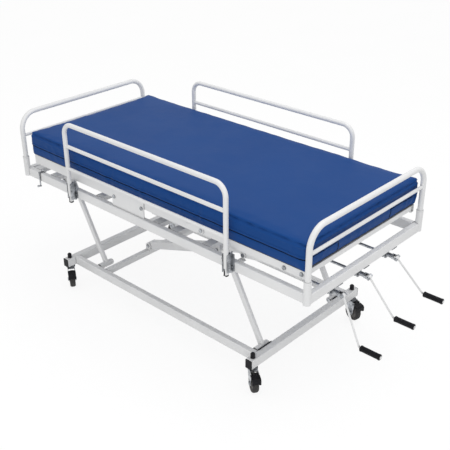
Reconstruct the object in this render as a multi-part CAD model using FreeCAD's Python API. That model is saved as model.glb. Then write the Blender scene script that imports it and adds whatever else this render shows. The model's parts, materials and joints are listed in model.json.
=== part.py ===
import FreeCAD, Part
import math
import os

# Manual hospital bed with three foot-end cranks: a wheeled base, two pairs of parallel legs, a levelled
# upper frame, a four-section mattress platform, lift-out boards and side rails, and a foam mattress.
# While the pieces are drawn, x runs from the middle of the mattress towards the foot end, y across the
# bed (the lying person's right side is -y) and z up from the floor. Each piece is then moved along x,
# so that the origin lies on the floor under the middle of the whole bed.

V = FreeCAD.Vector
X = V(1, 0, 0)
Y = V(0, 1, 0)
Z = V(0, 0, 1)
SIDES = (("right", -1), ("left", 1))

# Clearances
running_fit = 0.05
soft_gap = 0.3
side_play = 0.5
corner_round = 4.0

# Mattress and platform
mattress_length = 1950.0
mattress_width = 900.0
mattress_thick = 140.0
mattress_edge_round = 12.0
platform_rise = 96.0

# Upper frame. A rise is a height over the frame's top and a drop is one under it, here and below.
frame_side_margin = 8.0
frame_rail_w = 30.0
frame_rail_h = 50.0
frame_wall = 2.0
frame_over_pivot = 59.1
foot_post_margin = 27.0
head_post_margin = 68.0
foot_tube_setback = 5.0
member_w = 50.0
member_h = 25.0
head_member_inset = 58.0
member_positions = (-424.0, 30.0, 160.0)

# End boards and their sockets
post_inset = 1.0
post_r = 14.0
post_wall = 2.0
socket_wall = 3.4
socket_drop = 46.0
socket_rise = 63.0
post_insert = 95.0
foot_board_rise = 312.0
head_board_rise = 324.0
board_bend = 95.0
board_rail_rise = 197.0
board_rail_r = 9.0
board_rail_wall = 1.5
collar_h = 6.0
collar_r = 18.6

# Side rails
side_rail_offset = 26.0
side_rail_head_x = -600.0
side_rail_foot_x = 558.0
side_rail_drop = 72.0
side_rail_rise = 388.0
side_rail_bend = 62.0
side_tube_r = 12.5
side_tube_wall = 2.0
mid_rail_rise = 260.0
mid_rail_r = 10.0
low_rail_rise = 130.0
low_rail_r = 9.5
thin_wall = 1.5
cap_h = 9.0
slot_w = 8.4
slot_drop = 29.0

# Side rail brackets and latches
bracket_drop = 60.0
bracket_rise = 54.0
bracket_plate_t = 5.0
bracket_plate_w = 58.0
cheek_t = 4.0
cheek_gap = 0.6
guide_pin_r = 4.0
latch_rise = 4.0
latch_r = 4.0
latch_reach = 39.0
latch_ear_x = 27.0
latch_handle_l = 74.0
latch_handle_w = 8.0
latch_handle_t = 5.0
latch_stand_off = 12.0

# Base
base_tube_h = 51.0
base_cross_w = 40.0
base_rail_w = 30.0
base_wall = 2.5
base_half_width = 447.0
base_rail_y = 375.0
base_head_x = -775.0
base_foot_x = 670.0
base_mid_x = -502.0
base_mid_w = 30.0
plug_flange = 3.0
plug_depth = 18.0
plug_rib = 2.4

# Casters
caster_y = 418.0
wheel_r = 50.0
wheel_w = 32.0
trail = 25.0
fork_inner_w = 36.0
fork_t = 3.0
axle_r = 6.0
stem_r = 6.0
fork_plate_r = 26.0
fork_plate_t = 6.0
wheel_room = 20.0
race_t = 6.0
stem_cap_r = 12.0
stem_cap_h = 28.0
pedal_pivot_x = 42.0
pedal_pivot_drop = 11.0
pedal_pin_r = 3.0
pedal_hub_r = 6.0
pedal_tip_x = 84.5
pedal_lip_drop = 27.0
pedal_t = 4.5
pedal_w = 46.0
pedal_horn = 5.0
caster_angles = {"foot_right": -35.0, "foot_left": -13.0, "head_right": -33.0, "head_left": 12.0}

# Lift legs
leg_length = 540.0
leg_angle = 28.2
leg_w = 30.0
leg_t = 20.0
leg_wall = 2.0
leg_y = 300.0
base_pivot_drop = 16.0
foot_base_pivot_x = 630.0
head_base_pivot_x = -578.0
sleeve_r = 18.0
sleeve_y0 = 261.0
sleeve_y1 = 352.0
pivot_pin_r = 8.0
pin_head_r = 14.0
pin_head_t = 5.0
torsion_r = 17.0
torsion_wall = 3.0
torsion_half = 350.0
bush_length = 26.0
lug_t = 6.0
lug_r = 20.0

# Cranks, screws and push tubes
crank_ys = {"back": -224.0, "lift": -12.0, "knee": 228.0}
crank_turns = {"back": 3.0, "lift": 21.0, "knee": 28.0}
shaft_drop = 98.0
shaft_r = 9.0
crank_reach = 29.0
crank_bracket_r = 22.0
crank_bracket_t = 5.0
crank_bracket_inset = 52.0
crank_flange_t = 4.0
crank_bracket_w = 22.0
bearing_r = 13.5
collar_t = 5.0
screw_r = 7.0
screw_length = 318.0
nut_r = 15.0
nut_length = 30.0
push_tube_r = 11.0
push_tube_wall = 2.5
arm_length = 264.0
arm_angle = 68.0
arm_r = 4.8
arm_bend = 9.0
grip_length = 106.0
grip_r = 15.0
spindle_r = 5.0
fold_pin_r = 5.0
fold_eye_r = 9.5
fold_eye_w = 14.0
fork_reach = 22.0
fork_cheek = 4.0
fold_pin_head_r = 8.0

# Platform sections
section_inset = 30.5
section_rail_w = 25.0
section_wall = 1.5
back_rail_h = 54.0
thigh_rail_h = 44.0
calf_rail_h = 38.0
slat_w = 30.0
slat_t = 4.0
slat_ys = (-300.0, -150.0, 0.0, 150.0, 300.0)
rung_w = 25.0
rung_h = 20.0
back_hinge_x = -271.0
thigh_hinge_x = -59.0
section_hinge_rise = 55.0
knee_x = 360.0
knee_rise = 77.0
near_rung = 45.0
back_rungs = (155.0, 335.0, 515.0)
thigh_rungs = (209.0,)
calf_rungs = (230.0, 415.0)
seat_plate_t = 5.0
seat_plate_margin = 16.0
hinge_bolt_r = 6.0
bolt_head_r = 10.0
bolt_head_t = 5.0
torque_tube_r = 15.0
back_range = 65.0
thigh_range = 35.0
rail_end_round = 13.0

# Lift levers on the torque tubes, and the yokes that push them
back_lever = 130.0
back_lever_angle = 30.0
knee_lever = 125.0
knee_lever_angle = -10.0
lever_t = 8.0
lever_pin_r = 6.0
lever_end_r = 13.0
yoke_gap = 2.0
yoke_t = 4.0
yoke_play = 2.6
yoke_rim = 9.0

# Lift link from the base to the middle push tube
lift_pivot_x = -495.0
lift_pivot_rise = 27.0
lift_nut_start = 18.0
link_w = 46.0
link_wall = 3.0
link_deep = 52.0
link_root_r = 20.0
link_tip_r = 15.0
link_fork_length = 340.0
trunnion_r = 6.0

# Calf links
calf_link_frame_x = 600.0
calf_link_frame_rise = 24.0
calf_link_foot_inset = 115.0
calf_link_rise = 73.0
calf_link_t = 5.0
calf_link_inset = 23.0
calf_link_root = 15.0
calf_link_play = 5.2

# Bag hook on the right-hand frame rail
hook_post_gap = 125.0
hook_r = 4.0
hook_drop = 80.0
hook_toe = 14.0
hook_foot_r = 6.5

# Lengthwise and crosswise places worked out from the sizes above
platform_half_length = mattress_length / 2
foot_post_x = platform_half_length + foot_post_margin
head_post_x = -platform_half_length - head_post_margin
foot_tube_x = foot_post_x - foot_tube_setback
hook_x = head_post_x + hook_post_gap
frame_half_width = mattress_width / 2 + frame_side_margin
post_y = frame_half_width - post_inset
side_rail_y = frame_half_width + side_rail_offset
section_rail_y = frame_half_width - section_inset
rail_y = frame_half_width - frame_rail_w / 2
inner_y = frame_half_width - frame_rail_w
calf_link_y = inner_y - calf_link_inset
calf_link_x = platform_half_length - calf_link_foot_inset
crank_hinge_x = foot_post_x + crank_reach
crank_bracket_x = foot_post_x - crank_bracket_inset
screw_end_x = crank_bracket_x - screw_length
lift_trunnion_x = screw_end_x + lift_nut_start

# Heights worked out from the wheels up
fork_plate_z = 2 * wheel_r + wheel_room
race_z = fork_plate_z + fork_plate_t
pedal_pivot_z = fork_plate_z - pedal_pivot_drop
pedal_lip_z = pedal_pivot_z - pedal_lip_drop
base_bottom = race_z + race_t
base_top = base_bottom + base_tube_h
base_mid_z = base_top - base_tube_h / 2
base_pivot_z = base_top - base_pivot_drop
lift_pivot_z = base_top + lift_pivot_rise
stem_top = base_top + stem_cap_h - 6
lean = math.radians(leg_angle)
lean_x = -leg_length * math.sin(lean)
lean_z = leg_length * math.cos(lean)
top_pivot_z = base_pivot_z + lean_z
frame_top = top_pivot_z + frame_over_pivot
frame_mid_z = frame_top - frame_rail_h / 2
frame_bottom = frame_top - frame_rail_h
member_z = frame_top - member_h / 2
socket_bottom = frame_top - socket_drop
socket_top = frame_top + socket_rise
foot_board_top = frame_top + foot_board_rise
head_board_top = frame_top + head_board_rise
board_rail_z = frame_top + board_rail_rise
side_rail_bottom = frame_top - side_rail_drop
side_rail_top = frame_top + side_rail_rise
mid_rail_z = frame_top + mid_rail_rise
low_rail_z = frame_top + low_rail_rise
slot_top = frame_top - slot_drop
bracket_z0 = frame_top - bracket_drop
bracket_z1 = frame_top + bracket_rise
latch_z = frame_top + latch_rise
shaft_z = frame_top - shaft_drop
section_hinge_z = frame_top + section_hinge_rise
knee_z = frame_top + knee_rise
calf_link_frame_z = frame_top + calf_link_frame_rise
calf_link_z = frame_top + calf_link_rise
platform_top = frame_top + platform_rise
mattress_bottom = platform_top + soft_gap
mattress_top = mattress_bottom + mattress_thick

# Other sizes worked out
post_bore = post_r + running_fit
socket_r = post_bore + socket_wall
foot_top_pivot_x = foot_base_pivot_x + lean_x
head_top_pivot_x = head_base_pivot_x + lean_x
arm_run = arm_length * math.cos(math.radians(arm_angle))
arm_fall = arm_length * math.sin(math.radians(arm_angle))
grip_start = arm_bend * math.tan(math.radians(arm_angle / 2)) + 1.0
spindle_length = grip_start + grip_length + 4.0
crank_end_x = crank_hinge_x + arm_run + spindle_length
head_end_x = head_post_x - max(socket_r, collar_r)
origin_x = (head_end_x + crank_end_x) / 2


def back_pin(turn):
    """Where the backrest lever's pin is, with the backrest raised by turn degrees."""
    a = math.radians(back_lever_angle - turn)
    return back_hinge_x + back_lever * math.sin(a), section_hinge_z - back_lever * math.cos(a)


def knee_pin(turn):
    """Where the knee lever's pin is, with the thigh section raised by turn degrees."""
    a = math.radians(knee_lever_angle + turn)
    return thigh_hinge_x + knee_lever * math.sin(a), section_hinge_z - knee_lever * math.cos(a)


link_eye_r = hinge_bolt_r + calf_link_play
back_travel = back_pin(0)[0] - back_pin(back_range)[0]
back_nut_x = screw_end_x + nut_length + back_travel
knee_nut_x = screw_end_x + nut_length + 20.0


# Basic shapes

def box(x0, x1, y0, y1, z0, z1):
    return Part.makeBox(x1 - x0, y1 - y0, z1 - z0, V(x0, y0, z0))


def rod(start, end, r, bore=0.0):
    """A round bar, or a tube with the given bore radius, from start to end."""
    direction = end - start
    bar = Part.makeCylinder(r, direction.Length, start, direction)
    if bore:
        bar = bar.cut(Part.makeCylinder(bore, direction.Length, start, direction))
    return bar


def rod_y(x, z, y0, y1, r, bore=0.0):
    return rod(V(x, y0, z), V(x, y1, z), r, bore)


def hexagon_y(x, z, y0, y1, r):
    """A bolt head or nut along y, whose corners lie on a circle of radius r."""
    corners = [V(x + r * math.cos(i * math.pi / 3), y0, z + r * math.sin(i * math.pi / 3)) for i in range(6)]
    return Part.Face(Part.makePolygon(corners + corners[:1])).extrude(V(0, y1 - y0, 0))


def weld(pieces):
    return pieces[0].fuse(pieces[1:]).removeSplitter()


def mirrored(shape):
    """The same shape on the other side of the bed's middle plane."""
    return shape.mirror(V(0, 0, 0), Y)


def both_sides(shape):
    return [shape, mirrored(shape)]


def rounded_rect(w, h, r):
    """A face in the YZ plane, w along y and h along z, with rounded corners."""
    if r <= 0:
        corners = [V(0, -w / 2, -h / 2), V(0, w / 2, -h / 2), V(0, w / 2, h / 2), V(0, -w / 2, h / 2)]
        return Part.Face(Part.makePolygon(corners + corners[:1]))
    edges = []
    for quarter in range(4):
        a = quarter * math.pi / 2
        sy = 1 if quarter in (0, 3) else -1
        sz = 1 if quarter in (0, 1) else -1
        centre = V(0, sy * (w / 2 - r), sz * (h / 2 - r))
        points = []
        for step in (0, 1, 2):
            b = a + step * math.pi / 4
            points.append(centre + V(0, r * math.cos(b), r * math.sin(b)))
        if edges:
            edges.append(Part.LineSegment(last, points[0]).toShape())
        else:
            first = points[0]
        edges.append(Part.Arc(*points).toShape())
        last = points[2]
    edges.append(Part.LineSegment(last, first).toShape())
    return Part.Face(Part.Wire(edges))


def tube_x(x0, x1, y, z, w, h, wall, r=0.0):
    """A rectangular tube along x, w across and h high, open at both ends."""
    section = rounded_rect(w, h, r).cut(rounded_rect(w - 2 * wall, h - 2 * wall, 0))
    section.translate(V(x0, y, z))
    return section.extrude(V(x1 - x0, 0, 0))


def tube_y(y0, y1, x, z, w, h, wall, r=0.0):
    """A rectangular tube along y, w wide along x and h high, open at both ends."""
    tube = tube_x(y0, y1, 0, 0, w, h, wall, r)
    tube.rotate(V(0, 0, 0), Z, 90)
    tube.translate(V(x, 0, z))
    return tube


def bent_tube(points, bend, r, bore=0.0):
    """A round tube along straight runs joined by arcs of radius bend."""
    pieces = []
    start = points[0]
    for i in range(1, len(points) - 1):
        before = (points[i] - points[i - 1]).normalize()
        after = (points[i + 1] - points[i]).normalize()
        turn = before.getAngle(after)
        cut_back = bend * math.tan(turn / 2)
        arc_start = points[i] - before * cut_back
        pieces.append(rod(start, arc_start, r, bore))
        axis = before.cross(after).normalize()
        centre = arc_start + axis.cross(before) * bend
        ring = Part.Face(Part.Wire(Part.makeCircle(r, arc_start, before)))
        if bore:
            ring = ring.cut(Part.Face(Part.Wire(Part.makeCircle(bore, arc_start, before))))
        pieces.append(ring.revolve(centre, axis, math.degrees(turn)))
        start = points[i] + after * cut_back
    pieces.append(rod(start, points[-1], r, bore))
    return weld(pieces)


def strap(x0, z0, r0, x1, z1, r1, y, t):
    """A flat link in the XZ plane, t thick from y, whose round ends r0 and r1 are joined by tangents."""
    along = V(x1 - x0, 0, z1 - z0)
    length = along.Length
    along = along / length
    across = V(-along.z, 0, along.x)
    s = (r0 - r1) / length
    c = math.sqrt(1 - s * s)
    starts = []
    ends = []
    for side in (1, -1):
        tangent = along * s + across * (side * c)
        starts.append(V(x0, y, z0) + tangent * r0)
        ends.append(V(x1, y, z1) + tangent * r1)
    edges = [
        Part.LineSegment(starts[0], ends[0]).toShape(),
        Part.Arc(ends[0], V(x1, y, z1) + along * r1, ends[1]).toShape(),
        Part.LineSegment(ends[1], starts[1]).toShape(),
        Part.Arc(starts[1], V(x0, y, z0) - along * r0, starts[0]).toShape(),
    ]
    return Part.Face(Part.Wire(edges)).extrude(V(0, t, 0))


def prism_y(outline, y0, y1):
    """A straight-sided outline of (x, z) points, extruded along y."""
    points = [V(x, y0, z) for x, z in outline]
    return Part.Face(Part.makePolygon(points + points[:1])).extrude(V(0, y1 - y0, 0))


def lathe(outline, centre, axis):
    """A solid of revolution from (radius, height) points about an axis through centre."""
    points = [V(r, 0, h) for r, h in outline]
    solid = Part.Face(Part.makePolygon(points + points[:1])).revolve(V(0, 0, 0), Z, 360)
    solid.Placement = FreeCAD.Placement(centre, FreeCAD.Rotation(Z, axis))
    return solid


# Base

def base_frame():
    pieces = []
    foot_inner = base_foot_x - base_cross_w / 2
    head_inner = base_head_x + base_cross_w / 2
    for side in (-1, 1):
        pieces.append(tube_x(head_inner, foot_inner, side * base_rail_y, base_mid_z,
                             base_rail_w, base_tube_h, base_wall, corner_round))
    for x in (base_head_x, base_foot_x):
        cross = tube_y(-base_half_width, base_half_width, x, base_mid_z,
                       base_cross_w, base_tube_h, base_wall, corner_round)
        for y in (-caster_y, caster_y):
            cross = cross.cut(rod(V(x, y, base_bottom - 1), V(x, y, base_top + 1), stem_r + running_fit))
        pieces.append(cross)
    mid_half = base_rail_y - base_rail_w / 2
    pieces.append(tube_y(-mid_half, mid_half, base_mid_x, base_top - base_mid_w / 2,
                         base_mid_w, base_mid_w, base_wall))
    lift_y = crank_ys["lift"]
    for side in (-1, 1):
        y0 = lift_y + side * (link_w / 2 + side_play)
        y1 = y0 + side * lug_t
        ear = strap(base_mid_x, base_top - base_mid_w / 2, base_mid_w / 2 - 1, lift_pivot_x, lift_pivot_z,
                    lug_r, min(y0, y1), lug_t)
        pieces.append(ear)
    frame = weld(pieces)
    bore = base_mid_w / 2 - base_wall
    reach = link_w / 2 + side_play + lug_t + 1
    frame = frame.cut(box(base_mid_x - bore, base_mid_x + bore, lift_y - reach, lift_y + reach,
                          base_top - base_mid_w + base_wall, base_top - base_wall))
    return frame.cut(rod_y(lift_pivot_x, lift_pivot_z, lift_y - reach, lift_y + reach,
                           trunnion_r + running_fit))


def base_end_caps():
    """Black plugs in the open ends of the two cross tubes: a flange and a ribbed spigot."""
    caps = []
    spigot_w = base_cross_w - 2 * base_wall - 2 * running_fit
    spigot_h = base_tube_h - 2 * base_wall - 2 * running_fit
    for x in (base_head_x, base_foot_x):
        flange = rounded_rect(base_cross_w, base_tube_h, corner_round).extrude(V(plug_flange, 0, 0))
        spigot = rounded_rect(spigot_w, spigot_h, 0).extrude(V(-plug_depth, 0, 0))
        hollow = rounded_rect(spigot_w - 2 * plug_rib, spigot_h - 2 * plug_rib, 0)
        cap = weld([flange, spigot.cut(hollow.extrude(V(-plug_depth, 0, 0)))])
        cap.rotate(V(0, 0, 0), Z, 90)
        cap.translate(V(x, base_half_width, base_mid_z))
        clear = rod(V(x, caster_y, base_bottom), V(x, caster_y, base_top), stem_r + side_play)
        caps += both_sides(cap.cut(clear))
    return Part.makeCompound(caps)


def caster_centres():
    """Each caster's name and the place of its stem."""
    return {
        "foot_right": (base_foot_x, -caster_y),
        "foot_left": (base_foot_x, caster_y),
        "head_right": (base_head_x, -caster_y),
        "head_left": (base_head_x, caster_y),
    }


def stem_caps():
    """Round black caps over the tops of the caster stems."""
    outline = [
        (stem_r + running_fit, 0), (stem_cap_r, 0), (stem_cap_r, stem_cap_h - 5),
        (stem_cap_r - 4, stem_cap_h), (0, stem_cap_h), (0, stem_cap_h - 4),
        (stem_r + running_fit, stem_cap_h - 4),
    ]
    caps = []
    for x, y in caster_centres().values():
        caps.append(lathe(outline, V(x, y, base_top), Z))
    return Part.makeCompound(caps)


def caster_stems():
    """The king pins: a stem through the base tube, a top race under it and a riveted head under the fork."""
    outline = [
        (0, fork_plate_z - 6), (stem_r + 4, fork_plate_z - 6), (stem_r + 4, fork_plate_z - side_play),
        (stem_r, fork_plate_z - side_play), (stem_r, race_z + side_play),
        (fork_plate_r - 4, race_z + side_play),
        (fork_plate_r - 4, base_bottom), (stem_r, base_bottom), (stem_r, stem_top), (0, stem_top),
    ]
    stems = []
    for x, y in caster_centres().values():
        stems.append(lathe(outline, V(x, y, 0), Z))
    return Part.makeCompound(stems)


def base_pivot_pins():
    """Pins from the base rails through the bottom sleeves of the four legs."""
    pins = []
    rail_inner = base_rail_y - base_rail_w / 2
    for x in (foot_base_pivot_x, head_base_pivot_x):
        shank = rod_y(x, base_pivot_z, sleeve_y0 - side_play, rail_inner, pivot_pin_r)
        head_y = sleeve_y0 - side_play
        head = hexagon_y(x, base_pivot_z, head_y - pin_head_t, head_y, pin_head_r)
        pins += both_sides(weld([shank, head]))
    low = crank_ys["lift"] - link_w / 2 - side_play - lug_t
    high = crank_ys["lift"] + link_w / 2 + side_play + lug_t
    shank = rod_y(lift_pivot_x, lift_pivot_z, low, high, trunnion_r)
    heads = [
        hexagon_y(lift_pivot_x, lift_pivot_z, high, high + bolt_head_t, bolt_head_r),
        hexagon_y(lift_pivot_x, lift_pivot_z, low - bolt_head_t, low, bolt_head_r),
    ]
    pins.append(weld([shank] + heads))
    return Part.makeCompound(pins)


# Casters, drawn with the stem on the z axis and the wheel trailing along +x

def placed_caster(shape, name):
    x, y = caster_centres()[name]
    shape.rotate(V(0, 0, 0), Z, caster_angles[name])
    shape.translate(V(x, y, 0))
    return shape


def caster_fork():
    half = fork_inner_w / 2
    pivot_r = pedal_pin_r + 4
    plate = rod(V(0, 0, fork_plate_z), V(0, 0, race_z), fork_plate_r)
    plate = plate.fuse(box(0, pedal_pivot_x - 10, -half - fork_t, half + fork_t, fork_plate_z, race_z - 2))
    pieces = [plate]
    outline = [
        (-fork_plate_r + 6, fork_plate_z), (pedal_pivot_x + pivot_r, fork_plate_z),
        (pedal_pivot_x + pivot_r, pedal_pivot_z - pivot_r), (trail + 15, wheel_r - 2),
        (trail + 9, wheel_r - 13), (trail - 9, wheel_r - 13), (trail - 16, wheel_r + 2),
        (-fork_plate_r + 6, fork_plate_z - 14),
    ]
    for y0 in (-half - fork_t, half):
        cheek = prism_y(outline, y0, y0 + fork_t)
        pieces.append(cheek)
    fork = weld(pieces)
    fork = fork.cut(rod(V(0, 0, fork_plate_z - 1), V(0, 0, race_z + 1), stem_r + running_fit))
    reach = half + fork_t
    fork = fork.cut(rod_y(trail, wheel_r, -reach - 1, reach + 1, axle_r))
    fork = fork.cut(rod_y(pedal_pivot_x, pedal_pivot_z, -reach - 1, reach + 1, pedal_pin_r + running_fit))
    axle = weld([
        rod_y(trail, wheel_r, -reach, reach, axle_r),
        hexagon_y(trail, wheel_r, reach, reach + bolt_head_t, bolt_head_r),
        hexagon_y(trail, wheel_r, -reach - bolt_head_t, -reach, bolt_head_r),
    ])
    return Part.makeCompound([fork, axle])


def caster_wheel():
    """A tyre with rounded shoulders on a dished hub."""
    half = wheel_w / 2
    outline = [
        (axle_r + running_fit, -half - 1.5), (14, -half - 1.5), (17, -half + 5), (wheel_r - 17, -half + 5),
        (wheel_r - 13, -half), (wheel_r - 5, -half), (wheel_r, -half + 7),
    ]
    outline += [(r, -h) for r, h in reversed(outline)]
    return lathe(outline, V(trail, 0, wheel_r), Y)


def brake_pedal():
    """A moulded toe hood on a pin between the fork cheeks: a top plate, a turned-down lip and two horns."""
    x, z = pedal_pivot_x, pedal_pivot_z
    tip, lip, t = pedal_tip_x, pedal_lip_z, pedal_t
    neck_half = fork_inner_w / 2 - side_play
    neck = prism_y([
        (x, z + pedal_hub_r), (x + 14, z + 4), (x + 14, z + 4 - t), (x, z - pedal_hub_r / 2),
    ], -neck_half, neck_half)
    hood = prism_y([
        (x + 10, z + 4.5), (tip - 8, z + 1), (tip, z - 7), (tip, lip), (tip - t, lip), (tip - t, z - 9),
        (tip - 10, z + 1 - t), (x + 10, z + 4.5 - t),
    ], -pedal_w / 2, pedal_w / 2)
    horns = []
    for side in (-1, 1):
        y = side * (pedal_w / 2 - 5)
        horns.append(box(tip - t, tip, y - 5, y + 5, lip - pedal_horn, lip))
    hub = rod_y(x, z, -neck_half, neck_half, pedal_hub_r)
    pin = rod_y(x, z, -fork_inner_w / 2 - fork_t - 2, fork_inner_w / 2 + fork_t + 2, pedal_pin_r)
    return weld([neck, hood, hub, pin] + horns)


# Lift legs

def leg_pair(base_x, top_x):
    """Two legs with bottom sleeves, joined at the top by a torsion tube with a bush in each end."""
    angle = -leg_angle
    pieces = []
    tube = rod_y(top_x, top_pivot_z, -torsion_half, torsion_half, torsion_r, torsion_r - torsion_wall)
    pieces.append(tube)
    for side in (-1, 1):
        bush = rod_y(top_x, top_pivot_z, side * torsion_half, side * (torsion_half - bush_length),
                     torsion_r - torsion_wall, pivot_pin_r + running_fit)
        sleeve = rod_y(base_x, base_pivot_z, side * sleeve_y0, side * sleeve_y1, sleeve_r,
                       pivot_pin_r + running_fit)
        leg = tube_x(0, leg_length, 0, 0, leg_t, leg_w, leg_wall, corner_round)
        leg.rotate(V(0, 0, 0), Y, -90)
        leg.rotate(V(0, 0, 0), Y, angle)
        leg.translate(V(base_x, side * leg_y, base_pivot_z))
        leg = leg.cut(rod_y(base_x, base_pivot_z, side * sleeve_y0, side * sleeve_y1, sleeve_r))
        leg = leg.cut(rod_y(top_x, top_pivot_z, -torsion_half, torsion_half, torsion_r))
        pieces += [bush, sleeve, leg]
    return weld(pieces)


def leg_top_pins():
    """Pins through the hanging lugs into the bushes of the two torsion tubes."""
    pins = []
    lug_outer = torsion_half + side_play + lug_t
    for x in (foot_top_pivot_x, head_top_pivot_x):
        shank = rod_y(x, top_pivot_z, torsion_half - bush_length, lug_outer, pivot_pin_r)
        head = hexagon_y(x, top_pivot_z, lug_outer, lug_outer + pin_head_t, pin_head_r)
        pins += both_sides(weld([shank, head]))
    return Part.makeCompound(pins)


# Upper frame

def upper_frame():
    """Side rails, end tubes and flush cross members, with hanging lugs for the legs and rail-top lugs."""
    pieces = []
    sockets = []
    for x in (foot_post_x, head_post_x):
        for side in (-1, 1):
            sockets.append(rod(V(x, side * post_y, socket_bottom), V(x, side * post_y, socket_top), socket_r))
    end_tubes = {
        head_post_x: (-post_y, post_y),
        foot_tube_x: (-post_y, post_y),
    }
    for x, (y0, y1) in end_tubes.items():
        pieces.append(tube_y(y0, y1, x, frame_mid_z, frame_rail_w, frame_rail_h, frame_wall, corner_round))
    rail_x0 = head_post_x + frame_rail_w / 2 - frame_wall
    rail_x1 = foot_tube_x - frame_rail_w / 2
    for side in (-1, 1):
        pieces.append(tube_x(rail_x0, rail_x1, side * rail_y, frame_mid_z,
                             frame_rail_w, frame_rail_h, frame_wall, corner_round))
    head_member_x = head_post_x + head_member_inset
    for x in member_positions + (head_member_x, foot_top_pivot_x, head_top_pivot_x):
        pieces.append(tube_y(-inner_y, inner_y, x, member_z, member_w, member_h, frame_wall))
    for x in (foot_top_pivot_x, head_top_pivot_x):
        for side in (-1, 1):
            y0 = side * (torsion_half + side_play)
            y1 = y0 + side * lug_t
            plate = box(x - lug_r, x + lug_r, min(y0, y1), max(y0, y1), top_pivot_z, frame_top - member_h)
            boss = rod_y(x, top_pivot_z, y0, y1, lug_r)
            pieces.append(weld([plate, boss]).cut(
                rod_y(x, top_pivot_z, y0 - side, y1 + side, pivot_pin_r + running_fit)))
    for side in (-1, 1):
        y0 = side * (calf_link_y + calf_link_t + side_play)
        y1 = side * (inner_y + 6)
        web = strap(calf_link_frame_x, frame_top, 4, calf_link_frame_x, calf_link_frame_z, calf_link_root,
                    min(y0, y0 + side * lug_t), lug_t)
        foot = box(calf_link_frame_x - 16, calf_link_frame_x + 16, min(y0, y1), max(y0, y1),
                   frame_top, frame_top + 4)
        below = box(calf_link_frame_x - 30, calf_link_frame_x + 30, -inner_y, inner_y,
                    frame_top - 10, frame_top)
        pieces.append(weld([web.cut(below), foot]).cut(
            rod_y(calf_link_frame_x, calf_link_frame_z, -inner_y, inner_y, hinge_bolt_r + running_fit)))
    frame = weld(pieces)
    for socket in sockets:
        frame = frame.cut(socket)
    return frame


def corner_sockets():
    """Upright tubes welded into the four corners, which take the posts of the end boards."""
    sockets = []
    for x in (foot_post_x, head_post_x):
        socket = rod(V(x, post_y, socket_bottom), V(x, post_y, socket_top), socket_r, post_bore)
        floor = rod(V(x, post_y, socket_bottom), V(x, post_y, socket_top - post_insert - soft_gap), socket_r)
        sockets += both_sides(weld([socket, floor]))
    return Part.makeCompound(sockets)


def end_board(x, top):
    """An inverted U of tube with a thinner lower rail and a stop collar on each post."""
    foot = socket_top - post_insert
    hoop = bent_tube([V(x, -post_y, foot), V(x, -post_y, top), V(x, post_y, top), V(x, post_y, foot)],
                     board_bend, post_r, post_r - post_wall)
    rail = rod_y(x, board_rail_z, -post_y, post_y, board_rail_r, board_rail_r - board_rail_wall)
    pieces = [hoop]
    for side in (-1, 1):
        post = rod(V(x, side * post_y, foot), V(x, side * post_y, top), post_r)
        rail = rail.cut(post)
        collar_z = socket_top + soft_gap
        pieces.append(rod(V(x, side * post_y, collar_z), V(x, side * post_y, collar_z + collar_h),
                          collar_r, post_r))
    return weld(pieces + [rail])


def side_rail(side):
    """A hoop of tube with a middle and a lower rail; each post's foot is slotted over a guide pin."""
    y = side * side_rail_y
    x0, x1 = side_rail_head_x, side_rail_foot_x
    hoop = bent_tube([V(x0, y, side_rail_bottom + cap_h), V(x0, y, side_rail_top), V(x1, y, side_rail_top),
                      V(x1, y, side_rail_bottom + cap_h)], side_rail_bend, side_tube_r,
                     side_tube_r - side_tube_wall)
    pieces = [hoop]
    for z, r in ((mid_rail_z, mid_rail_r), (low_rail_z, low_rail_r)):
        bar = rod(V(x0, y, z), V(x1, y, z), r, r - thin_wall)
        for x in (x0, x1):
            bar = bar.cut(rod(V(x, y, side_rail_bottom), V(x, y, side_rail_top), side_tube_r))
        pieces.append(bar)
    rail = weld(pieces)
    for x in (x0, x1):
        rail = rail.cut(post_slot(x, y))
    return rail


def post_slot(x, y):
    """The slot through a side rail post, open at its foot."""
    reach = side_tube_r + 2
    half = slot_w / 2
    cut = box(x - half, x + half, y - reach, y + reach, side_rail_bottom - 1, slot_top - half)
    return cut.fuse(rod_y(x, slot_top - half, y - reach, y + reach, half))


def rail_caps(side):
    """Black end pieces plugged into the feet of a side rail's posts."""
    y = side * side_rail_y
    bore = side_tube_r - side_tube_wall - running_fit
    outline = [
        (0, side_rail_bottom), (side_tube_r - 2, side_rail_bottom), (side_tube_r, side_rail_bottom + 2),
        (side_tube_r, side_rail_bottom + cap_h), (bore, side_rail_bottom + cap_h),
        (bore, side_rail_bottom + cap_h + 14), (0, side_rail_bottom + cap_h + 14),
    ]
    caps = []
    for x in (side_rail_head_x, side_rail_foot_x):
        halves = lathe(outline, V(x, y, 0), Z).cut(post_slot(x, y))
        caps += halves.Solids
    return Part.makeCompound(caps)


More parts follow.
